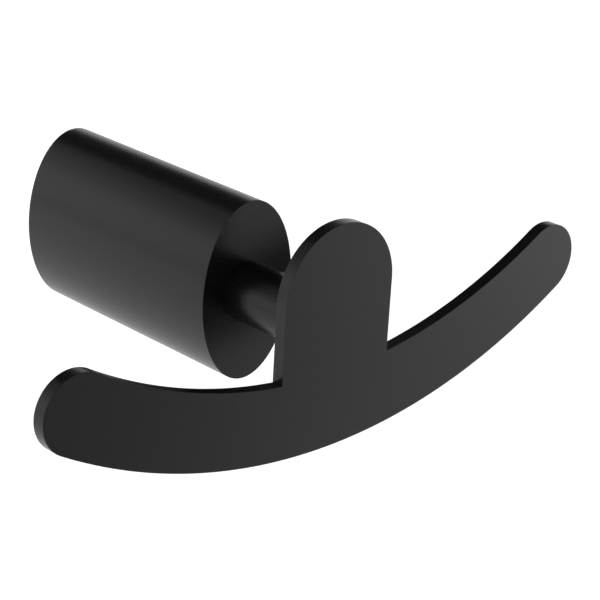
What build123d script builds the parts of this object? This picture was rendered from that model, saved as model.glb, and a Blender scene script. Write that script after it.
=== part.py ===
from build123d import *
import math
import os

# Double robe hook: an oval barrel on the wall carries a round neck and a flat two-armed hook plate.
# Millimetres. The origin is on the wall, on the barrel's axis. The hook stands out along -Y, +Z is up.

# Barrel, an oval cup that is closed at the front and open at the wall
BARREL_WIDTH = 25.0
BARREL_HEIGHT = 40.0
BARREL_LENGTH = 59.4
BARREL_WALL = 2.5
FRONT_WALL = 4.5
BARREL_EDGE = 0.2
UNDERSIDE_ARC = 34.0

# Neck, a turned rod with a flatted spigot that keys it into the front wall
NECK_DIAMETER = 13.0
NECK_LENGTH = 24.2
SPIGOT_DIAMETER = 9.0
SPIGOT_FLATS = 7.0
SPIGOT_SHORTFALL = 1.0
SPIGOT_CLEARANCE = 0.1
SPIGOT_LEAD = 0.3

# Hook plate, cut from sheet: two arms on one arc and a round-topped tab over their middle
PLATE_THICKNESS = 2.8
PLATE_EDGE = 0.2
ARM_RADIUS = 131.0
ARM_SWEEP = 30.1
ARM_WIDTH = 16.4
ARM_TIP_HEIGHT = 0.45
TAB_WIDTH = 29.8
TAB_TOP_HEIGHT = 23.1

# Wall bracket, an oval block that plugs the barrel's open end
BRACKET_DEPTH = 10.0
BRACKET_CLEARANCE = 0.2
BRACKET_LEAD = 0.8
WALL_SCREW_SPACING = 20.0
WALL_SCREW_HOLE = 4.5
WALL_SCREW_HEAD = 8.8
COUNTERSINK_ANGLE = 90.0

# Grub screw, which locks the barrel on the bracket from below
GRUB_DIAMETER = 5.0
GRUB_SETBACK = 5.0
GRUB_RECESS = 0.5
GRUB_POINT = 0.8
GRUB_SOCKET = 2.5
GRUB_SOCKET_DEPTH = 2.0
GROOVE_DEPTH = 1.6
GROOVE_CLEARANCE = 0.2

# Neck screw and its washers
SCREW_DIAMETER = 5.0
SCREW_LENGTH = 16.0
SCREW_HEAD_DIAMETER = 8.5
SCREW_HEAD_HEIGHT = 5.0
SCREW_SOCKET = 4.0
SCREW_SOCKET_DEPTH = 2.5
SCREW_EDGE = 0.4
FLAT_WASHER_DIAMETER = 15.0
SPRING_WASHER_DIAMETER = 9.2
WASHER_THICKNESS = 1.2
WASHER_CLEARANCE = 0.15
SPRING_WASHER_SPLIT = 0.8
SPRING_WASHER_SLANT = 25.0
TAPPED_RUNOUT = 2.5
DRILL_POINT_ANGLE = 118.0

# Room between a screw and its thread
THREAD_CLEARANCE = 0.05

# Distances out from the wall
plate_back = BARREL_LENGTH + NECK_LENGTH
front_wall_inside = BARREL_LENGTH - FRONT_WALL
spring_washer_front = front_wall_inside - WASHER_THICKNESS
screw_seat = spring_washer_front - WASHER_THICKNESS
spigot_end = front_wall_inside + SPIGOT_SHORTFALL
tapped_end = screw_seat + SCREW_LENGTH + TAPPED_RUNOUT

# Radii of the holes that the neck screw goes into and through
tapped_radius = SCREW_DIAMETER / 2 + THREAD_CLEARANCE
washer_hole_radius = SCREW_DIAMETER / 2 + WASHER_CLEARANCE
drill_point = tapped_radius / math.tan(math.radians(DRILL_POINT_ANGLE / 2))

# Half sizes of the barrel's bore and of the bracket inside it
bore_half_width = BARREL_WIDTH / 2 - BARREL_WALL
bore_half_height = BARREL_HEIGHT / 2 - BARREL_WALL
bracket_half_width = bore_half_width - BRACKET_CLEARANCE
bracket_half_height = bore_half_height - BRACKET_CLEARANCE

# Heights of the grub screw's outer end and of the groove floor that its point bears on
grub_outer_end = GRUB_RECESS - BARREL_HEIGHT / 2
groove_floor = GROOVE_DEPTH - bracket_half_height

# Centre height of the arms' arc, and of the tab's round top
arm_centre_height = ARM_TIP_HEIGHT + ARM_RADIUS * math.cos(math.radians(ARM_SWEEP))
arm_low_height = arm_centre_height - ARM_RADIUS
tab_round_height = TAB_TOP_HEIGHT - TAB_WIDTH / 2

os.makedirs("parts", exist_ok=True)


def oval(half_width, half_height):
    """Adds an oval to the sketch. Its underside, where the grub screw enters, is an arc of its own."""
    underside_start = 270 - UNDERSIDE_ARC / 2
    underside_end = 270 + UNDERSIDE_ARC / 2
    with BuildLine() as outline:
        EllipticalCenterArc((0, 0), half_width, half_height, underside_start, arc_size=UNDERSIDE_ARC)
        EllipticalCenterArc((0, 0), half_width, half_height, underside_end, arc_size=360 - UNDERSIDE_ARC)
    make_face(outline.edges())


# Barrel
with BuildPart() as barrel:
    with BuildSketch(Plane.XZ):
        oval(BARREL_WIDTH / 2, BARREL_HEIGHT / 2)
    extrude(amount=BARREL_LENGTH)
    chamfer(barrel.faces().sort_by(Axis.Y)[0].edges(), BARREL_EDGE)
    with BuildSketch(Plane.XZ):
        oval(bore_half_width, bore_half_height)
    extrude(amount=front_wall_inside, mode=Mode.SUBTRACT)
    # The keyed hole for the neck's spigot
    with BuildSketch(Plane.XZ.offset(front_wall_inside)):
        keyhole = Circle(SPIGOT_DIAMETER / 2 + SPIGOT_CLEARANCE)
        Rectangle(SPIGOT_FLATS + 2 * SPIGOT_CLEARANCE, 2 * keyhole.radius, mode=Mode.INTERSECT)
    extrude(amount=FRONT_WALL, mode=Mode.SUBTRACT)
    # The tapped hole for the grub screw, through the bottom wall
    with BuildSketch(Plane.XY.offset(-BARREL_HEIGHT / 2)):
        with Locations((0, -GRUB_SETBACK)):
            Circle(GRUB_DIAMETER / 2 + THREAD_CLEARANCE)
    extrude(amount=BARREL_HEIGHT / 2, mode=Mode.SUBTRACT)
barrel.part.label = "barrel"
export_step(barrel.part, "parts/barrel.step")

# Neck
with BuildPart() as neck:
    with BuildSketch(Plane.XZ.offset(BARREL_LENGTH)):
        Circle(NECK_DIAMETER / 2)
    extrude(amount=NECK_LENGTH)
    with BuildSketch(Plane.XZ.offset(BARREL_LENGTH)):
        Circle(SPIGOT_DIAMETER / 2)
        Rectangle(SPIGOT_FLATS, SPIGOT_DIAMETER, mode=Mode.INTERSECT)
    extrude(amount=spigot_end - BARREL_LENGTH)
    chamfer(neck.faces().sort_by(Axis.Y)[-1].edges(), SPIGOT_LEAD)
    # The blind tapped hole, with the drill's cone at its end
    with BuildSketch(Plane.XY):
        with BuildLine():
            Polyline(
                (0, -spigot_end),
                (tapped_radius, -spigot_end),
                (tapped_radius, -tapped_end),
                (0, -tapped_end - drill_point),
                close=True,
            )
        make_face()
    revolve(axis=Axis.Y, mode=Mode.SUBTRACT)
neck.part.label = "neck"
export_step(neck.part, "parts/neck.step")

# Hook plate
with BuildPart() as hook_plate:
    with BuildSketch(Plane.XZ.offset(plate_back)):
        with BuildLine(mode=Mode.PRIVATE):
            arm_line = CenterArc((0, arm_centre_height), ARM_RADIUS, -90 - ARM_SWEEP, 2 * ARM_SWEEP)
        SlotArc(arm_line, ARM_WIDTH)
        with Locations((0, arm_low_height)):
            Rectangle(TAB_WIDTH, tab_round_height - arm_low_height, align=(Align.CENTER, Align.MIN))
        with Locations((0, tab_round_height)):
            Circle(TAB_WIDTH / 2)
    extrude(amount=PLATE_THICKNESS)
    chamfer(hook_plate.faces().filter_by(Axis.Y).edges(), PLATE_EDGE)
hook_plate.part.label = "hook_plate"
export_step(hook_plate.part, "parts/hook_plate.step")

# Wall bracket
with BuildPart() as wall_bracket:
    with BuildSketch(Plane.XZ):
        Ellipse(bracket_half_width, bracket_half_height)
    extrude(amount=BRACKET_DEPTH)
    chamfer(wall_bracket.faces().sort_by(Axis.Y)[0].edges(), BRACKET_LEAD)
    with Locations(Plane.XZ.offset(BRACKET_DEPTH)):
        with GridLocations(0, WALL_SCREW_SPACING, 1, 2):
            CounterSinkHole(WALL_SCREW_HOLE / 2, WALL_SCREW_HEAD / 2, BRACKET_DEPTH, COUNTERSINK_ANGLE)
    # The groove across the underside, whose flat floor the grub screw bears on
    with Locations((0, -GRUB_SETBACK, groove_floor)):
        Box(
            BARREL_WIDTH,
            GRUB_DIAMETER + 2 * GROOVE_CLEARANCE,
            BARREL_HEIGHT,
            align=(Align.CENTER, Align.CENTER, Align.MAX),
            mode=Mode.SUBTRACT,
        )
wall_bracket.part.label = "wall_bracket"
export_step(wall_bracket.part, "parts/wall_bracket.step")

# Grub screw
with BuildPart() as grub_screw:
    with BuildSketch(Plane.XY.offset(grub_outer_end)):
        with Locations((0, -GRUB_SETBACK)):
            Circle(GRUB_DIAMETER / 2)
    extrude(amount=groove_floor - grub_outer_end)
    chamfer(grub_screw.edges().sort_by(Axis.Z)[-1], GRUB_POINT)
    with BuildSketch(Plane.XY.offset(grub_outer_end)):
        with Locations((0, -GRUB_SETBACK)):
            RegularPolygon(GRUB_SOCKET / 2, side_count=6, major_radius=False)
    extrude(amount=GRUB_SOCKET_DEPTH, mode=Mode.SUBTRACT)
grub_screw.part.label = "grub_screw"
export_step(grub_screw.part, "parts/grub_screw.step")

# Neck screw
with BuildPart() as neck_screw:
    with BuildSketch(Plane.XZ.offset(screw_seat)):
        Circle(SCREW_HEAD_DIAMETER / 2)
    extrude(amount=-SCREW_HEAD_HEIGHT)
    chamfer(neck_screw.edges().sort_by(Axis.Y)[-1], SCREW_EDGE)
    with BuildSketch(Plane.XZ.offset(screw_seat)):
        Circle(SCREW_DIAMETER / 2)
    extrude(amount=SCREW_LENGTH)
    chamfer(neck_screw.edges().sort_by(Axis.Y)[0], SCREW_EDGE)
    with BuildSketch(Plane.XZ.offset(screw_seat - SCREW_HEAD_HEIGHT)):
        RegularPolygon(SCREW_SOCKET / 2, side_count=6, major_radius=False)
    extrude(amount=SCREW_SOCKET_DEPTH, mode=Mode.SUBTRACT)
neck_screw.part.label = "neck_screw"
export_step(neck_screw.part, "parts/neck_screw.step")

# Flat washer
with BuildPart() as flat_washer:
    with BuildSketch(Plane.XZ.offset(spring_washer_front)):
        Circle(FLAT_WASHER_DIAMETER / 2)
        Circle(washer_hole_radius, mode=Mode.SUBTRACT)
    extrude(amount=WASHER_THICKNESS)
flat_washer.part.label = "flat_washer"
export_step(flat_washer.part, "parts/flat_washer.step")

# Spring washer, pressed flat by the screw, with its slanted split at the top
with BuildPart() as spring_washer:
    with BuildSketch(Plane.XZ.offset(screw_seat)):
        Circle(SPRING_WASHER_DIAMETER / 2)
        Circle(washer_hole_radius, mode=Mode.SUBTRACT)
        split_height = (SPRING_WASHER_DIAMETER / 2 + washer_hole_radius) / 2
        with Locations(Location((0, split_height), SPRING_WASHER_SLANT)):
            Rectangle(SPRING_WASHER_SPLIT, SPRING_WASHER_DIAMETER / 2, mode=Mode.SUBTRACT)
    extrude(amount=WASHER_THICKNESS)
spring_washer.part.label = "spring_washer"
export_step(spring_washer.part, "parts/spring_washer.step")
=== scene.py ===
"""Looks of a double robe hook: a black-coated oval barrel, neck and hook plate on metal fixings.

Sizes are in millimetres and angles in degrees, unless a class says otherwise. The origin is on the wall,
on the barrel's axis. The hook stands out along -Y, and a depth is a distance out from the wall.
"""
import logging
import math
from abc import ABC, abstractmethod
from collections.abc import Callable, Iterable, Mapping
from dataclasses import dataclass, field
from enum import Enum, IntEnum
from functools import cached_property
from typing import ClassVar

import bmesh
import bpy
from mathutils import Matrix, Vector


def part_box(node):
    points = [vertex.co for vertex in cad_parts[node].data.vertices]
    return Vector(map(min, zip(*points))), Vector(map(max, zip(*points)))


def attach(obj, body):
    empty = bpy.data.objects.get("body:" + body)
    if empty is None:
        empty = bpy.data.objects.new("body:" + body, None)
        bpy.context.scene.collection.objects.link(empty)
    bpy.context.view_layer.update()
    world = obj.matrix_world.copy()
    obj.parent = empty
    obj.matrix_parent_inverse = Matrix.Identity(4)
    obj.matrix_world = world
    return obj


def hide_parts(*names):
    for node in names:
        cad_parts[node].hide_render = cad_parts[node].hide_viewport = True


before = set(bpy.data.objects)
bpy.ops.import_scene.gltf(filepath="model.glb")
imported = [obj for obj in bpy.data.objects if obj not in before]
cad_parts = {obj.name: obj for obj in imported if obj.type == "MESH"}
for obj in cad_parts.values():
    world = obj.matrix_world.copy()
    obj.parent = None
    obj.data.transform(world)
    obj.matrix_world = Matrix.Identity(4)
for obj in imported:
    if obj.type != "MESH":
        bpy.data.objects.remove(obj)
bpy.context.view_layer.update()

MM = 0.001
BODY = "root"
PHOTO_WIDTH = 600
TINY = 1e-6
NOISE_MIDDLE = 0.5
HEXAGON_SIDES = 6

Point = tuple[float, float, float]
Colour = tuple[float, float, float]
Pair = tuple[float, float]
Reach = Callable[[float], float]
Ring = list[bmesh.types.BMVert]
Face = bmesh.types.BMFace
log = logging.getLogger("robe_hook")


class Slot(Enum):
    """The record's material slots."""

    BLACK_COAT = "black_coat"
    BRACKET_METAL = "bracket_metal"
    DARK_STEEL = "dark_steel"
    PLATED_STEEL = "plated_steel"


class MixSocket(IntEnum):
    """Numbers of a Mix node's inputs and of its result, when it mixes colours."""

    SHARE = 0
    FIRST = 6
    SECOND = 7
    RESULT = 2


@dataclass(frozen=True)
class NodeBox:
    """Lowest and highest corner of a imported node."""

    low: Vector
    high: Vector

    @classmethod
    def of(cls, node: str) -> "NodeBox":
        """Reads the box of one node."""
        low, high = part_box(node)
        return cls(low / MM, high / MM)

    @property
    def middle(self) -> Vector:
        """Centre of the box."""
        return (self.low + self.high) / 2

    @property
    def size(self) -> Vector:
        """Lengths of the box's sides."""
        return self.high - self.low


class Value:
    """A number that changes over a surface. Sums with it add Math nodes."""

    def __init__(self, graph: "NodeGraph", socket: bpy.types.NodeSocket) -> None:
        """Keeps the node tree and the socket that gives the number."""
        self.graph = graph
        self.socket = socket

    def combine(self, operation: str, first: "Value | float", second: "Value | float") -> "Value":
        """Adds one Math node.

        Args:
            operation: The Math node's operation.
            first: Its first input.
            second: Its second input.

        Returns:
            The node's result.
        """
        node = self.graph.add("ShaderNodeMath", {"operation": operation}, {0: first, 1: second})
        return Value(self.graph, node.outputs[0])

    def __add__(self, other: "Value | float") -> "Value":
        """Adds a number or a value."""
        return self.combine("ADD", self, other)

    def __radd__(self, other: float) -> "Value":
        """Adds to a number."""
        return self.combine("ADD", other, self)

    def __sub__(self, other: "Value | float") -> "Value":
        """Takes away a number or a value."""
        return self.combine("SUBTRACT", self, other)

    def __rsub__(self, other: float) -> "Value":
        """Takes the value from a number."""
        return self.combine("SUBTRACT", other, self)

    def __mul__(self, other: "Value | float") -> "Value":
        """Multiplies by a number or a value."""
        return self.combine("MULTIPLY", self, other)

    def __rmul__(self, other: float) -> "Value":
        """Multiplies a number by the value."""
        return self.combine("MULTIPLY", other, self)


class NodeGraph:
    """The node tree of one material or of the world."""

    def __init__(self, tree: bpy.types.NodeTree) -> None:
        """Empties the tree and keeps it."""
        tree.nodes.clear()
        self.tree = tree

    def add(
        self, kind: str, settings: Mapping[str, object], sockets: Mapping[str | int, object]
    ) -> bpy.types.Node:
        """Adds a node, sets it and fills its sockets.

        Args:
            kind: The node's type.
            settings: Properties of the node, set before its sockets.
            sockets: A value or a link for each named or numbered socket.

        Returns:
            The new node.
        """
        node = self.tree.nodes.new(kind)
        for name, setting in settings.items():
            setattr(node, name, setting)
        for key, content in sockets.items():
            source = content.socket if isinstance(content, Value) else content
            if isinstance(source, bpy.types.NodeSocket):
                self.tree.links.new(source, node.inputs[key])
            else:
                node.inputs[key].default_value = source
        return node

    def place(self) -> bpy.types.NodeSocket:
        """Gives the position on the piece, in metres."""
        return self.add("ShaderNodeTexCoord", {}, {}).outputs["Object"]

    def noise(self, place: bpy.types.NodeSocket, size: float, detail: float) -> Value:
        """Adds a noise texture.

        Args:
            place: Position that the noise is read at.
            size: Size of one blotch.
            detail: How many finer layers it has.

        Returns:
            The noise, from 0 to 1.
        """
        sockets = {"Vector": place, "Scale": 1 / (size * MM), "Detail": detail}
        return Value(self, self.add("ShaderNodeTexNoise", {}, sockets).outputs["Fac"])

    def stretch(self, place: bpy.types.NodeSocket, factors: Point) -> bpy.types.NodeSocket:
        """Scales a position along each axis."""
        sockets = {0: place, 1: factors}
        return self.add("ShaderNodeVectorMath", {"operation": "MULTIPLY"}, sockets).outputs[0]

    def blend(self, share: Value, first: Colour, second: Colour) -> bpy.types.NodeSocket:
        """Mixes two colours.

        Args:
            share: How much of the second colour shows, from 0 to 1.
            first: Colour at 0.
            second: Colour at 1.

        Returns:
            The mixed colour.
        """
        sockets = {MixSocket.SHARE: share, MixSocket.FIRST: (*first, 1), MixSocket.SECOND: (*second, 1)}
        return self.add("ShaderNodeMix", {"data_type": "RGBA"}, sockets).outputs[MixSocket.RESULT]

    def bump(self, height: Value, depth: float) -> bpy.types.NodeSocket:
        """Turns a height from 0 to 1 into a normal, for a relief of some depth."""
        return self.add("ShaderNodeBump", {}, {"Distance": depth * MM, "Height": height}).outputs["Normal"]

    def seen(self) -> Value:
        """Tells the rays that show a surface to the camera.

        Returns:
            1 for rays from the camera, from a gloss or through glass, and 0 for the rest.
        """
        path = self.add("ShaderNodeLightPath", {}, {})
        camera = Value(self, path.outputs["Is Camera Ray"])
        gloss = Value(self, path.outputs["Is Glossy Ray"])
        return camera + gloss + Value(self, path.outputs["Is Transmission Ray"])


def new_material(name: str) -> tuple[bpy.types.Material, NodeGraph]:
    """Makes an empty material.

    Args:
        name: Its name.

    Returns:
        The material and its node tree.
    """
    material = bpy.data.materials.new(name)
    material.use_nodes = True
    return material, NodeGraph(material.node_tree)


@dataclass(frozen=True)
class BlackCoat:
    """Satin black coating on metal: very fine relief, faint clouds in its gloss."""

    dark: Colour = (0.0036, 0.0036, 0.0037)
    light: Colour = (0.0050, 0.0050, 0.0051)
    roughness: float = 0.27
    cloud_size: float = 6.0
    cloud_detail: float = 3.0
    cloud_spread: float = 0.03
    speck_size: float = 0.16
    speck_detail: float = 2.0
    speck_spread: float = 0.06
    relief: float = 0.0022
    ior: float = 1.325

    def material(self) -> bpy.types.Material:
        """Builds the coat.

        Returns:
            Its material.
        """
        material, graph = new_material(Slot.BLACK_COAT.value)
        place = graph.place()
        clouds = graph.noise(place, self.cloud_size, self.cloud_detail)
        specks = graph.noise(place, self.speck_size, self.speck_detail)
        cloudy = self.roughness + self.cloud_spread * (clouds - NOISE_MIDDLE)
        shader = graph.add(
            "ShaderNodeBsdfPrincipled",
            {},
            {
                "Base Color": graph.blend(specks, self.dark, self.light),
                "Roughness": cloudy + self.speck_spread * (specks - NOISE_MIDDLE),
                "IOR": self.ior,
                "Normal": graph.bump(specks, self.relief),
            },
        )
        graph.add("ShaderNodeOutputMaterial", {}, {"Surface": shader.outputs[0]})
        return material


@dataclass(frozen=True)
class BareMetal:
    """Uncoated metal: cast, plated or blackened, by its colours, grain and gloss."""

    slot: Slot
    dark: Colour
    light: Colour
    roughness: float
    spread: float
    grain_size: float
    grain_stretch: Point
    relief: float
    grain_detail: float = 4.0
    grains_per_cloud: float = 8.0
    cloud_detail: float = 2.0

    def material(self) -> bpy.types.Material:
        """Builds the metal.

        Returns:
            Its material.
        """
        material, graph = new_material(self.slot.value)
        place = graph.place()
        grain = graph.noise(graph.stretch(place, self.grain_stretch), self.grain_size, self.grain_detail)
        clouds = graph.noise(place, self.grains_per_cloud * self.grain_size, self.cloud_detail)
        shader = graph.add(
            "ShaderNodeBsdfPrincipled",
            {},
            {
                "Base Color": graph.blend(clouds, self.dark, self.light),
                "Metallic": 1.0,
                "Roughness": self.roughness + self.spread * (grain + clouds - 2 * NOISE_MIDDLE),
                "Normal": graph.bump(grain, self.relief),
            },
        )
        graph.add("ShaderNodeOutputMaterial", {}, {"Surface": shader.outputs[0]})
        return material


CAST_ZINC = BareMetal(
    slot=Slot.BRACKET_METAL,
    dark=(0.40, 0.40, 0.41),
    light=(0.58, 0.58, 0.59),
    roughness=0.46,
    spread=0.16,
    grain_size=0.45,
    grain_stretch=(1, 1, 1),
    relief=0.012,
)
BLACK_OXIDE = BareMetal(
    slot=Slot.DARK_STEEL,
    dark=(0.020, 0.020, 0.022),
    light=(0.060, 0.060, 0.064),
    roughness=0.38,
    spread=0.18,
    grain_size=0.20,
    grain_stretch=(1, 1, 4),
    relief=0.003,
)
ZINC_PLATE = BareMetal(
    slot=Slot.PLATED_STEEL,
    dark=(0.55, 0.56, 0.59),
    light=(0.68, 0.69, 0.70),
    roughness=0.27,
    spread=0.14,
    grain_size=0.25,
    grain_stretch=(1, 4, 1),
    relief=0.003,
)


@dataclass
class MeshMaker:
    """Collects rings of points and joins them into one closed mesh, which is in metres."""

    sharp_angle: float = 35.0
    mesh: bmesh.types.BMesh = field(default_factory=bmesh.new)
    rolled: set[Face] = field(default_factory=set)

    def ring(self, points: Iterable[Point]) -> Ring:
        """Adds a vertex for each point of a closed ring."""
        return [self.mesh.verts.new(Vector(point) * MM) for point in points]

    def join(self, first: Ring, second: Ring, left_out: frozenset[int] = frozenset()) -> list[Face]:
        """Joins two rings of equal length with four-sided faces.

        Args:
            first: One ring.
            second: The other ring.
            left_out: Numbers of the faces that aren't made.

        Returns:
            The new faces.
        """
        count = len(first)
        faces = []
        for start in range(count):
            if start not in left_out:
                end = (start + 1) % count
                faces.append(self.mesh.faces.new((first[start], first[end], second[end], second[start])))
        return faces

    def join_all(self, rings: list[Ring], rolled: bool = False) -> None:
        """Joins each ring with the next.

        Args:
            rings: The rings, in order.
            rolled: Whether the faces are a rolled thread, which has no sharp edges.
        """
        for first, second in zip(rings, rings[1:]):
            faces = self.join(first, second)
            if rolled:
                self.rolled.update(faces)

    def cap(self, ring: Ring) -> None:
        """Closes a ring with one flat face."""
        self.mesh.faces.new(ring)

    def tip(self, ring: Ring, point: Point) -> None:
        """Closes a ring with a cone.

        Args:
            ring: The cone's rim.
            point: Its tip.
        """
        top = self.mesh.verts.new(Vector(point) * MM)
        for start in range(len(ring)):
            self.mesh.faces.new((ring[start], ring[(start + 1) % len(ring)], top))

    def mark_sharp(self) -> None:
        """Marks the edges that turn by more than the sharp angle, apart from a rolled thread's."""
        limit = math.radians(self.sharp_angle)
        for edge in self.mesh.edges:
            in_thread = self.rolled.issuperset(edge.link_faces)
            edge.smooth = in_thread or edge.calc_face_angle(0.0) < limit

    def finish(self, name: str) -> bpy.types.Object:
        """Makes the object, smooth apart from its sharp edges.

        Args:
            name: Name of the piece.

        Returns:
            The new object.
        """
        bmesh.ops.recalc_face_normals(self.mesh, faces=self.mesh.faces)
        self.mark_sharp()
        for face in self.mesh.faces:
            face.smooth = True
        data = bpy.data.meshes.new(name)
        self.mesh.to_mesh(data)
        self.mesh.free()
        piece = bpy.data.objects.new(name, data)
        bpy.context.scene.collection.objects.link(piece)
        weighted = piece.modifiers.new("even_normals", "WEIGHTED_NORMAL")
        weighted.keep_sharp = True
        return piece


class Piece(ABC):
    """A piece of the hook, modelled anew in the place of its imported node."""

    node: ClassVar[str]
    slot: ClassVar[Slot]

    @cached_property
    def box(self) -> NodeBox:
        """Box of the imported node."""
        return NodeBox.of(self.node)

    @abstractmethod
    def build(self) -> bpy.types.Object:
        """Builds the piece and gives its object."""

    def dress(self, material: bpy.types.Material) -> None:
        """Builds the piece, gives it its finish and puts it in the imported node's place.

        Args:
            material: Its finish.
        """
        piece = self.build()
        piece.data.materials.append(material)
        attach(piece, BODY)
        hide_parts(self.node)
        log.info("%s: %d faces, stands for %s", piece.name, len(piece.data.polygons), self.node)


@dataclass(frozen=True)
class PackedPiece:
    """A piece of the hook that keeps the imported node's shape."""

    node: str

    def dress(self, material: bpy.types.Material) -> None:
        """Gives the node its finish.

        Args:
            material: The finish.
        """
        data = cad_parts[self.node].data
        data.materials.clear()
        data.materials.append(material)
        log.info("%s: packed shape, %s", self.node, material.name)


def steps(first: float, last: float, count: int) -> list[float]:
    """Gives evenly spaced numbers.

    Args:
        first: The first number.
        last: The last number.
        count: How many steps lie between them.

    Returns:
        The numbers, both ends among them.
    """
    return [first + (last - first) * step / count for step in range(count + 1)]


def rounded_edge(radius: float, segments: int) -> list[Pair]:
    """Gives the section of a rounded edge as insets from two faces that meet at right angles.

    Args:
        radius: Radius of the edge.
        segments: Straight pieces in the section.

    Returns:
        Pairs of inset from the first face and inset from the second, from the first face on.
    """
    turns = [math.radians(turn) for turn in steps(0, 90, segments)]
    return [(radius * (1 - math.cos(turn)), radius * (1 - math.sin(turn))) for turn in turns]


def arc(centre: Pair, radius: float, first: float, last: float, count: int) -> list[Pair]:
    """Gives points along an arc, without its last point.

    Args:
        centre: Its centre across and up.
        radius: Its radius.
        first: Angle at its start.
        last: Angle at its end.
        count: Number of points.

    Returns:
        The points, as pairs of across and up.
    """
    turns = [math.radians(turn) for turn in steps(first, last, count)[:-1]]
    return [(centre[0] + radius * math.cos(t), centre[1] + radius * math.sin(t)) for t in turns]


def round_reach(radius: float) -> Reach:
    """Gives the reach of a circle at each angle."""
    return lambda turn: radius


def flatted_reach(radius: float, half_flats: float) -> Reach:
    """Gives the reach of a circle with a flat on its left and right."""
    return lambda turn: min(radius, half_flats / max(abs(math.cos(turn)), TINY))


def hexagon_reach(half_flats: float) -> Reach:
    """Gives the reach of a hexagon, by half its width across flats."""
    side = math.tau / HEXAGON_SIDES
    return lambda turn: half_flats / math.cos((turn + side / 2) % side - side / 2)


def polar_outline(reach: Reach, count: int) -> list[Pair]:
    """Gives the points of a closed outline.

    Args:
        reach: Its distance from the middle at each angle.
        count: Number of points.

    Returns:
        The points, as pairs of across and up.
    """
    turns = [math.tau * step / count for step in range(count)]
    return [(reach(turn) * math.cos(turn), reach(turn) * math.sin(turn)) for turn in turns]


@dataclass(frozen=True)
class Thread:
    """A metric screw thread cut into a rod. Its crest, root and depth are shares of its pitch."""

    radius: float
    pitch: float = 0.8
    rows: int = 16
    half_crest: float = 1 / 16
    half_root: float = 1 / 8
    depth_share: float = 0.5413

    def cut(self, phase: float) -> float:
        """Gives how deep the thread is cut at one place of its profile.

        Args:
            phase: The place, from 0 at one crest to 1 at the next.

        Returns:
            The cut, from 0 on the crest to 1 in the root.
        """
        flank = 1 / 2 - self.half_crest - self.half_root
        off_crest = min(phase, 1 - phase) - self.half_crest
        return min(max(off_crest / flank, 0.0), 1.0)

    def reach(self, along: float, limit: float, share: float = 1.0) -> Reach:
        """Gives the reach of the rod's section at one place along it.

        Args:
            along: The place along the rod.
            limit: The furthest that the section may reach, as where the rod's end is chamfered.
            share: How deep the thread is there, from 0 to its full depth at 1.

        Returns:
            The reach at each angle.
        """
        depth = share * self.depth_share * self.pitch
        turns = along / self.pitch
        return lambda turn: min(limit, self.radius - depth * self.cut((turns - turn / math.tau) % 1))

    def places(self, first: float, last: float) -> list[float]:
        """Gives the places of the thread's sections between two places along the rod."""
        return steps(first, last, math.ceil(abs(last - first) / self.pitch * self.rows))


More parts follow.
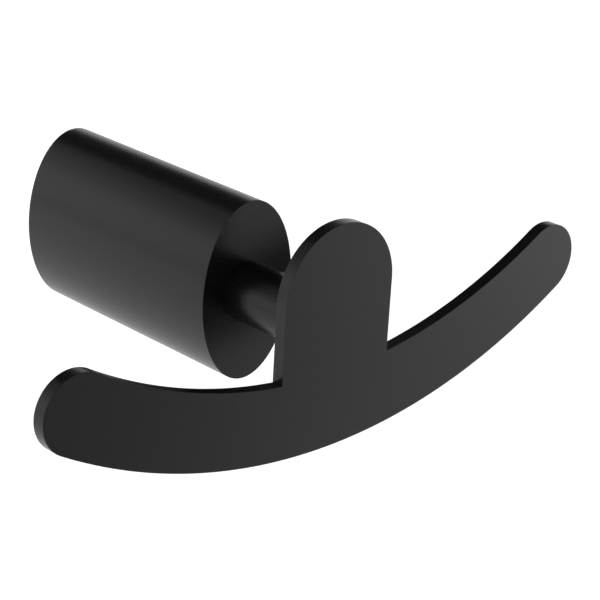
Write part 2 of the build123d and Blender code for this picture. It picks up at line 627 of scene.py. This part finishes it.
@dataclass
class Barrel(Piece):
    """The oval cup on the wall, with the keyed hole in its front and the grub screw's hole below."""

    node: ClassVar[str] = "barrel"
    slot: ClassVar[Slot] = Slot.BLACK_COAT
    wall: float = 2.5
    front_wall: float = 4.5
    edge: float = 0.05
    edge_segments: int = 3
    segments: int = 192
    key_radius: float = 4.6
    key_half_width: float = 3.6
    hole_clearance: float = 0.05
    hole_edge: float = 0.25
    hole_rings: int = 4
    patch_half_width: int = 10
    patch_half_length: float = 4.0
    patch_rows: int = 10
    long_rows: int = 5
    grub: NodeBox = field(default_factory=lambda: NodeBox.of("grub_screw"))

    def angles(self) -> list[float]:
        """Gives the angle of each point of a ring, from the underside on, in radians."""
        return [math.radians(360 * step / self.segments - 90) for step in range(self.segments)]

    def half_sizes(self, inset: float) -> Pair:
        """Gives half the width and half the height of an oval inside the barrel's outline."""
        return self.box.size.x / 2 - inset, self.box.size.z / 2 - inset

    def oval(self, inset: float, depth: float) -> list[Point]:
        """Gives an oval ring, some way inside the barrel's outline, at a depth."""
        half_width, half_height = self.half_sizes(inset)
        return [(half_width * math.cos(a), -depth, half_height * math.sin(a)) for a in self.angles()]

    def keyhole(self, depth: float) -> list[Point]:
        """Gives the outline of the keyed hole, a circle with two flats, at a depth."""
        reach = flatted_reach(self.key_radius, self.key_half_width)
        return [(reach(a) * math.cos(a), -depth, reach(a) * math.sin(a)) for a in self.angles()]

    def patch_depths(self) -> list[float]:
        """Gives the depths of the rows round the grub screw's hole."""
        centre = -self.grub.middle.y
        return steps(centre - self.patch_half_length, centre + self.patch_half_length, self.patch_rows)

    def patch_faces(self) -> frozenset[int]:
        """Gives the numbers of the faces that the hole's patch takes up in each row."""
        half = self.patch_half_width
        return frozenset(number % self.segments for number in range(-half, half))

    def patch_border(self, rows: list[Ring]) -> Ring:
        """Gives the vertices round the patch, in order.

        Args:
            rows: The patch's rows.

        Returns:
            The border, once round.
        """
        half = self.patch_half_width
        across = range(-half, half)
        near = [rows[0][number] for number in across]
        side = [row[half] for row in rows[:-1]]
        far = [rows[-1][-number] for number in across]
        back = [row[-half] for row in reversed(rows[1:])]
        return near + side + far + back

    def hole_ring(self, border: Ring, radius: float, inset: float, share: float = 1.0) -> list[Point]:
        """Gives a ring on a surface of the barrel, between a patch's border and the grub screw's hole.

        Args:
            border: The patch's border.
            radius: Radius of the hole there.
            inset: How far the surface is inside the barrel's outline.
            share: Where the ring lies, from 0 at the border to 1 at the hole.

        Returns:
            One point for each vertex of the border.
        """
        centre = self.grub.middle
        half_width, half_height = self.half_sizes(inset)
        points = []
        for vertex in border:
            start = vertex.co / MM
            turn = math.atan2(start.y - centre.y, start.x - centre.x)
            across = start.x + share * (centre.x + radius * math.cos(turn) - start.x)
            along = start.y + share * (centre.y + radius * math.sin(turn) - start.y)
            points.append((across, along, -half_height * math.sqrt(1 - (across / half_width) ** 2)))
        return points

    def pierce(self, maker: MeshMaker, outer_rows: list[Ring], bore_rows: list[Ring]) -> None:
        """Makes the two patches and the grub screw's hole between them.

        Args:
            maker: The barrel's mesh.
            outer_rows: Rows of the patch on the outside.
            bore_rows: Rows of the patch in the bore.
        """
        left_out = self.patch_faces()
        for rows in (outer_rows, bore_rows):
            for first, second in zip(rows, rows[1:]):
                maker.join(first, second, left_out)
        radius = self.grub.size.x / 2 + self.hole_clearance
        mouth = radius + self.hole_edge
        outer_border = self.patch_border(outer_rows)
        bore_border = self.patch_border(list(reversed(bore_rows)))
        shares = steps(0, 1, self.hole_rings)[1:]
        outer = [self.hole_ring(outer_border, mouth, 0, share) for share in shares]
        throat = self.hole_ring(outer_border, radius, self.hole_edge)
        bore = [self.hole_ring(bore_border, radius, self.wall, share) for share in reversed(shares)]
        rings = [maker.ring(points) for points in (*outer, throat, *bore)]
        maker.join_all([outer_border, *rings, bore_border])

    def build(self) -> bpy.types.Object:
        """Builds the barrel as one closed skin.

        Returns:
            The object.
        """
        maker = MeshMaker()
        length = self.box.size.y
        inside = length - self.front_wall
        round_edge = rounded_edge(self.edge, self.edge_segments)
        patch = self.patch_depths()
        long_depths = steps(patch[-1], length - self.edge, self.long_rows)[1:-1]
        bore_depths = [depth for depth in reversed(long_depths) if depth < inside]

        outer_rim = [maker.ring(self.oval(inset, low)) for inset, low in reversed(round_edge)]
        outer_patch = [maker.ring(self.oval(0, depth)) for depth in patch]
        outer_long = [maker.ring(self.oval(0, depth)) for depth in long_depths]
        front = [maker.ring(self.oval(inset, length - low)) for inset, low in round_edge]
        keyhole = [maker.ring(self.keyhole(depth)) for depth in (length, inside)]
        floor = maker.ring(self.oval(self.wall, inside))
        bore_long = [maker.ring(self.oval(self.wall, depth)) for depth in bore_depths]
        bore_patch = [maker.ring(self.oval(self.wall, depth)) for depth in reversed(patch)]
        bore_rim = [maker.ring(self.oval(self.wall - inset, low)) for inset, low in round_edge]

        maker.join_all([*outer_rim, outer_patch[0]])
        maker.join_all([outer_patch[-1], *outer_long, *front, *keyhole, floor, *bore_long, bore_patch[0]])
        maker.join_all([bore_patch[-1], *bore_rim, outer_rim[0]])
        self.pierce(maker, outer_patch, bore_patch)
        return maker.finish("barrel_body")


@dataclass
class Neck(Piece):
    """The turned rod between barrel and plate, with its flatted spigot and tapped hole."""

    node: ClassVar[str] = "neck"
    slot: ClassVar[Slot] = Slot.BLACK_COAT
    segments: int = 96
    edge: float = 0.03
    spigot_radius: float = 4.5
    spigot_half_flats: float = 3.5
    spigot_lead: float = 0.3
    tapped_radius: float = 2.55
    tapped_depth: float = 15.1
    drill_point: float = 1.53
    barrel: NodeBox = field(default_factory=lambda: NodeBox.of("barrel"))

    def section(self, reach: Reach, depth: float) -> list[Point]:
        """Gives a ring about the barrel's axis, at a depth."""
        return [(across, -depth, up) for across, up in polar_outline(reach, self.segments)]

    def build(self) -> bpy.types.Object:
        """Builds the neck.

        Returns:
            The object.
        """
        maker = MeshMaker()
        radius = self.box.size.x / 2
        plate = -self.box.low.y
        shoulder = -self.barrel.low.y
        end = -self.box.high.y
        lead = self.spigot_lead
        spigot = flatted_reach(self.spigot_radius, self.spigot_half_flats)
        spigot_tip = flatted_reach(self.spigot_radius - lead, self.spigot_half_flats - lead)
        sections = [
            self.section(round_reach(radius), plate),
            self.section(round_reach(radius), shoulder + self.edge),
            self.section(round_reach(radius - self.edge), shoulder),
            self.section(spigot, shoulder),
            self.section(spigot, end + lead),
            self.section(spigot_tip, end),
            self.section(round_reach(self.tapped_radius), end),
            self.section(round_reach(self.tapped_radius), end + self.tapped_depth),
        ]
        rings = [maker.ring(section) for section in sections]
        maker.join_all(rings)
        maker.cap(rings[0])
        maker.tip(rings[-1], (0, -(end + self.tapped_depth + self.drill_point), 0))
        return maker.finish("neck_rod")


@dataclass
class HookPlate(Piece):
    """The flat hook: two arms on one arc, round at their tips, and a round-topped tab between them."""

    node: ClassVar[str] = "hook_plate"
    slot: ClassVar[Slot] = Slot.BLACK_COAT
    arm_radius: float = 131.0
    arm_sweep: float = 30.1
    arm_width: float = 16.4
    tab_width: float = 29.8
    edge: float = 0.05
    edge_segments: int = 3
    arc_segments: int = 96
    tip_segments: int = 48
    side_segments: int = 6

    def right_half(self, inset: float) -> list[Pair]:
        """Gives the outline from the lowest point to the top of the tab, up the right side.

        Args:
            inset: How far it lies inside the plate's outline.

        Returns:
            The points, as pairs of across and up.
        """
        half_arm = self.arm_width / 2 - inset
        half_tab = self.tab_width / 2 - inset
        inner = self.arm_radius - half_arm
        arc_height = self.box.low.z + self.arm_radius + self.arm_width / 2
        centre = (0.0, arc_height)
        end = self.arm_sweep - 90
        turn = math.radians(end)
        tip = (self.arm_radius * math.cos(turn), arc_height + self.arm_radius * math.sin(turn))
        corner = math.degrees(math.asin(half_tab / inner)) - 90
        corner_height = arc_height - math.sqrt(inner ** 2 - half_tab ** 2)
        tab_round = self.box.high.z - self.tab_width / 2
        tab_side = steps(corner_height, tab_round, self.side_segments)[:-1]
        points = arc(centre, self.arm_radius + half_arm, -90, end, self.arc_segments)
        points += arc(tip, half_arm, end, end + 180, self.tip_segments)
        points += arc(centre, inner, end, corner, self.arc_segments)
        points += [(half_tab, height) for height in tab_side]
        points += arc((0.0, tab_round), half_tab, 0, 90, self.tip_segments)
        return points + [(0.0, tab_round + half_tab)]

    def outline(self, inset: float, depth: float) -> list[Point]:
        """Gives a whole ring of the plate.

        Args:
            inset: How far it lies inside the plate's outline.
            depth: How far it stands out from the wall.

        Returns:
            Its points.
        """
        right = self.right_half(inset)
        left = [(-across, up) for across, up in reversed(right[1:-1])]
        return [(across, -depth, up) for across, up in right + left]

    def build(self) -> bpy.types.Object:
        """Builds the plate.

        Returns:
            The object.
        """
        maker = MeshMaker()
        back = -self.box.high.y
        front = -self.box.low.y
        edge = rounded_edge(self.edge, self.edge_segments)
        rings = [maker.ring(self.outline(inset, back + low)) for inset, low in reversed(edge)]
        rings += [maker.ring(self.outline(inset, front - low)) for inset, low in edge]
        maker.join_all(rings)
        maker.cap(rings[0])
        maker.cap(rings[-1])
        return maker.finish("hook_plate_sheet")


@dataclass
class GrubScrew(Piece):
    """The socket set screw in the barrel's underside."""

    node: ClassVar[str] = "grub_screw"
    slot: ClassVar[Slot] = Slot.DARK_STEEL
    segments: int = 96
    edge: float = 0.35
    point: float = 0.8
    socket_half_flats: float = 1.25
    socket_depth: float = 2.0
    socket_edge: float = 0.15
    socket_cone: float = 0.4

    def section(self, reach: Reach, height: float) -> list[Point]:
        """Gives a ring about the screw's axis.

        Args:
            reach: Its distance from the axis at each angle.
            height: Its height.

        Returns:
            Its points.
        """
        middle = self.box.middle
        points = polar_outline(reach, self.segments)
        return [(middle.x + across, middle.y + along, height) for across, along in points]

    def threaded(self, height: float, thread: Thread) -> list[Point]:
        """Gives a ring of the thread, kept inside the chamfers at the screw's ends.

        Args:
            height: Its height.
            thread: The screw's thread.

        Returns:
            Its points.
        """
        over_bottom = height - self.box.low.z
        under_top = self.box.high.z - height
        limit = thread.radius - max(self.edge - over_bottom, self.point - under_top, 0.0)
        return self.section(thread.reach(height, limit), height)

    def build(self) -> bpy.types.Object:
        """Builds the screw.

        Returns:
            The object.
        """
        maker = MeshMaker()
        thread = Thread(self.box.size.x / 2)
        bottom = self.box.low.z
        floor = bottom + self.socket_depth
        heights = thread.places(self.box.high.z, bottom)
        rod = [maker.ring(self.threaded(height, thread)) for height in heights]
        hexagon = hexagon_reach(self.socket_half_flats)
        wide_hexagon = hexagon_reach(self.socket_half_flats + self.socket_edge)
        socket = [
            maker.ring(self.section(wide_hexagon, bottom)),
            maker.ring(self.section(hexagon, bottom + self.socket_edge)),
            maker.ring(self.section(hexagon, floor)),
        ]
        maker.cap(rod[0])
        maker.join_all(rod, rolled=True)
        maker.join_all([rod[-1], *socket])
        maker.tip(socket[-1], (self.box.middle.x, self.box.middle.y, floor + self.socket_cone))
        return maker.finish("grub_screw_body")


@dataclass
class NeckScrew(Piece):
    """The socket head screw inside the barrel: knurled head, and a shank threaded beyond the washers."""

    node: ClassVar[str] = "neck_screw"
    slot: ClassVar[Slot] = Slot.PLATED_STEEL
    segments: int = 96
    head_height: float = 5.0
    head_edge: float = 0.4
    knurl_depth: float = 0.12
    shank_radius: float = 2.5
    shank_edge: float = 0.4
    plain_shank: float = 2.4
    socket_half_flats: float = 2.0
    socket_depth: float = 2.5
    socket_edge: float = 0.2
    socket_cone: float = 0.7

    def section(self, reach: Reach, depth: float) -> list[Point]:
        """Gives a ring about the screw's axis, at a depth."""
        return [(across, -depth, up) for across, up in polar_outline(reach, self.segments)]

    def knurled(self, depth: float) -> list[Point]:
        """Gives a ring of the head's knurl, whose points are ridges and grooves by turns.

        Args:
            depth: How far it stands out from the wall.

        Returns:
            Its points.
        """
        crest = self.box.size.x / 2
        ridge = math.tau / self.segments
        return self.section(lambda turn: crest - self.knurl_depth * (round(turn / ridge) % 2), depth)

    def threaded(self, seat: float, depth: float, thread: Thread) -> list[Point]:
        """Gives a ring of the shank.

        Args:
            seat: Depth of the head's underside.
            depth: Depth of the ring.
            thread: The shank's thread.

        Returns:
            The ring's points.
        """
        share = min(max((depth - seat - self.plain_shank) / thread.pitch, 0.0), 1.0)
        to_end = -self.box.low.y - depth
        limit = thread.radius - max(self.shank_edge - to_end, 0.0)
        return self.section(thread.reach(depth, limit, share), depth)

    def build(self) -> bpy.types.Object:
        """Builds the screw.

        Returns:
            The object.
        """
        maker = MeshMaker()
        top = -self.box.high.y
        seat = top + self.head_height
        floor = top + self.socket_depth
        radius = self.box.size.x / 2
        thread = Thread(self.shank_radius)
        hexagon = hexagon_reach(self.socket_half_flats)
        sections = [
            self.section(hexagon, floor),
            self.section(hexagon, top + self.socket_edge),
            self.section(hexagon_reach(self.socket_half_flats + self.socket_edge), top),
            self.section(round_reach(radius - self.head_edge), top),
            self.knurled(top + self.head_edge),
            self.knurled(seat - self.head_edge),
            self.section(round_reach(radius - self.knurl_depth), seat - self.knurl_depth),
            self.section(round_reach(radius - 2 * self.knurl_depth), seat),
        ]
        head = [maker.ring(section) for section in sections]
        depths = thread.places(seat, -self.box.low.y)
        shank = [maker.ring(self.threaded(seat, depth, thread)) for depth in depths]
        maker.tip(head[0], (0, -(floor + self.socket_cone), 0))
        maker.join_all([*head, shank[0]])
        maker.join_all(shank, rolled=True)
        maker.cap(shank[-1])
        return maker.finish("neck_screw_body")


@dataclass
class PhotoCamera:
    """The camera at the photograph's viewing angle."""

    azimuth: float = -44.982
    elevation: float = 22.116
    roll: float = -3.304
    distance: float = 468.08
    aim_right: float = 51.991
    aim_down: float = 20.164
    focal_pixels: float = 2045.5
    sensor: float = 36.0

    def build(self) -> None:
        """Places the camera and makes it the scene's own."""
        turn = math.radians(self.azimuth)
        lift = math.radians(self.elevation)
        lean = math.radians(self.roll)
        back = Vector((math.sin(turn) * math.cos(lift), -math.cos(turn) * math.cos(lift), math.sin(lift)))
        level = Vector((0, 0, 1)).cross(back).normalized()
        upright = back.cross(level)
        right = math.cos(lean) * level - math.sin(lean) * upright
        up = math.sin(lean) * level + math.cos(lean) * upright
        data = bpy.data.cameras.new("photo_camera")
        data.sensor_width = self.sensor
        data.lens = self.focal_pixels / PHOTO_WIDTH * self.sensor
        camera = bpy.data.objects.new("photo_camera", data)
        bpy.context.scene.collection.objects.link(camera)
        turned = Matrix((right, up, back)).transposed()
        place = (self.distance * back + self.aim_right * right - self.aim_down * up) * MM
        camera.matrix_world = Matrix.Translation(place) @ turned.to_4x4()
        bpy.context.scene.camera = camera
        log.info("%s: at the photograph's angle", camera.name)


def toward(azimuth: float, elevation: float, reach: float) -> Vector:
    """Gives a point seen from the hook.

    Args:
        azimuth: Degrees to the right of straight ahead.
        elevation: Degrees up.
        reach: Distance.

    Returns:
        The point.
    """
    turn = math.radians(azimuth)
    lift = math.radians(elevation)
    flat = reach * math.cos(lift)
    return Vector((flat * math.sin(turn), -flat * math.cos(turn), reach * math.sin(lift)))


@dataclass(frozen=True)
class SoftBox:
    """A soft box that faces the hook, placed and sized by angles seen from it. A glow of 1 is white."""

    name: str
    azimuth: float
    elevation: float
    half_width: float
    half_height: float
    glow: float


@dataclass(frozen=True)
class HalfDisc:
    """A level half disc over one side of the hook, placed by angles seen from it. A glow of 1 is white."""

    name: str
    heading: float
    edge: float
    glow: float


@dataclass
class Studio:
    """A white studio: pale floor, even surroundings, soft boxes and grey panels. Lengths are in metres."""

    floor_drop: float = 0.65
    floor_radius: float = 6.0
    floor_colour: Colour = (0.86, 0.86, 0.86)
    floor_shade: float = 0.97
    floor_grain_mm: float = 40.0
    floor_detail: float = 2.0
    floor_glow: float = 0.63
    surroundings: float = 1.0
    arc_corners: int = 96
    overhead_height: float = 0.9
    overheads: tuple[HalfDisc, ...] = (
        HalfDisc("right_overhead", heading=10.0, edge=21.0, glow=0.05),
        HalfDisc("left_overhead", heading=190.0, edge=34.0, glow=0.53),
    )
    front_reach: float = 0.6
    front_span: Pair = (-10.0, 36.0)
    front_heights: Pair = (-0.6, 0.35)
    front_glow: float = 0.59
    box_reach: float = 1.4
    boxes: tuple[SoftBox, ...] = (
        SoftBox("right_box", azimuth=60.0, elevation=-5.0, half_width=14.0, half_height=16.0, glow=0.8),
        SoftBox("left_box", azimuth=-135.0, elevation=10.0, half_width=26.0, half_height=12.0, glow=0.57),
    )

    def level_arc(self, radius: float, height: float, first: float, sweep: float) -> list[Vector]:
        """Gives points along a level arc about the hook.

        Args:
            radius: Its radius.
            height: Its height.
            first: Azimuth of its start.
            sweep: Degrees that it turns through.

        Returns:
            The points, both ends among them.
        """
        up = Vector((0, 0, height))
        return [up + toward(turn, 0, radius) for turn in steps(first, first + sweep, self.arc_corners)]

    def panel(self, name: str, points: list[Vector], material: bpy.types.Material) -> bpy.types.Object:
        """Adds a flat piece of the set.

        Args:
            name: Its name.
            points: Its corners, in order.
            material: Its surface.

        Returns:
            The object.
        """
        data = bpy.data.meshes.new(name)
        data.from_pydata([tuple(point) for point in points], [], [list(range(len(points)))])
        data.materials.append(material)
        panel = bpy.data.objects.new(name, data)
        bpy.context.scene.collection.objects.link(panel)
        log.info("%s: part of the set", name)
        return panel

    def grey_panel(self, name: str, points: list[Vector], glow: float) -> None:
        """Adds a panel of an even grey that shows in the hook's gloss, but not to the camera.

        Args:
            name: Its name.
            points: Its corners, in order.
            glow: How bright it is, where 1 is white.
        """
        material, graph = new_material(name)
        light = graph.add("ShaderNodeEmission", {}, {"Strength": glow})
        graph.add("ShaderNodeOutputMaterial", {}, {"Surface": light.outputs[0]})
        self.panel(name, points, material).visible_camera = False

    def floor(self) -> None:
        """Adds the floor, white to the camera and in reflections, and shaded by the hook."""
        material, graph = new_material("pale_floor")
        grain = graph.noise(graph.place(), self.floor_grain_mm, self.floor_detail)
        shaded = tuple(self.floor_shade * channel for channel in self.floor_colour)
        colour = graph.blend(grain, shaded, self.floor_colour)
        matte = graph.add("ShaderNodeBsdfDiffuse", {}, {"Color": colour})
        glow = graph.add("ShaderNodeEmission", {}, {"Strength": self.floor_glow * graph.seen()})
        both = graph.add("ShaderNodeAddShader", {}, {0: matte.outputs[0], 1: glow.outputs[0]})
        graph.add("ShaderNodeOutputMaterial", {}, {"Surface": both.outputs[0]})
        disc = self.level_arc(self.floor_radius, -self.floor_drop, 0, 360)
        self.panel("studio_floor", disc[:-1], material)

    def overhead(self, disc: HalfDisc) -> None:
        """Adds one half disc over the hook, with its rim at the disc's edge angle above the horizon.

        Args:
            disc: The half disc.
        """
        radius = self.overhead_height / math.tan(math.radians(disc.edge))
        corners = self.level_arc(radius, self.overhead_height, disc.heading, 180)
        self.grey_panel(disc.name, corners, disc.glow)

    def front(self) -> None:
        """Adds the upright grey panel in front of the hook."""
        left, right = (toward(azimuth, 0, self.front_reach) for azimuth in self.front_span)
        low, high = (Vector((0, 0, height)) for height in self.front_heights)
        corners = [left + low, right + low, right + high, left + high]
        self.grey_panel("front_panel", corners, self.front_glow)

    def world(self) -> None:
        """Makes the even white surroundings."""
        world = bpy.data.worlds.new("white_studio")
        world.use_nodes = True
        graph = NodeGraph(world.node_tree)
        sockets = {"Color": (1, 1, 1, 1), "Strength": self.surroundings}
        light = graph.add("ShaderNodeBackground", {}, sockets)
        graph.add("ShaderNodeOutputWorld", {}, {"Surface": light.outputs[0]})
        bpy.context.scene.world = world

    def soft_box(self, box: SoftBox) -> None:
        """Adds one soft box, with the power that gives its face its glow.

        Args:
            box: The soft box.
        """
        data = bpy.data.lights.new(box.name, "AREA")
        data.shape = "RECTANGLE"
        data.size = 2 * self.box_reach * math.tan(math.radians(box.half_width))
        data.size_y = 2 * self.box_reach * math.tan(math.radians(box.half_height))
        data.energy = box.glow * math.pi * data.size * data.size_y
        lamp = bpy.data.objects.new(box.name, data)
        lamp.location = toward(box.azimuth, box.elevation, self.box_reach)
        lamp.rotation_euler = lamp.location.to_track_quat("Z", "Y").to_euler()
        lamp.visible_camera = False
        bpy.context.scene.collection.objects.link(lamp)
        log.info("%s: soft box", box.name)

    def build(self) -> None:
        """Builds the whole set."""
        self.world()
        self.floor()
        for disc in self.overheads:
            self.overhead(disc)
        self.front()
        for box in self.boxes:
            self.soft_box(box)
        bpy.context.scene.view_settings.view_transform = "Standard"


def main() -> None:
    """Builds the hook's pieces, the set and the camera."""
    logging.basicConfig(level=logging.INFO, format="%(name)s: %(message)s")
    coat = BlackCoat().material()
    for coated in (Barrel(), Neck(), HookPlate()):
        coated.dress(coat)
    GrubScrew().dress(BLACK_OXIDE.material())
    PackedPiece("wall_bracket").dress(CAST_ZINC.material())
    plated = ZINC_PLATE.material()
    NeckScrew().dress(plated)
    for washer in ("flat_washer", "spring_washer"):
        PackedPiece(washer).dress(plated)
    Studio().build()
    PhotoCamera().build()


if __name__ == "__main__":
    main()
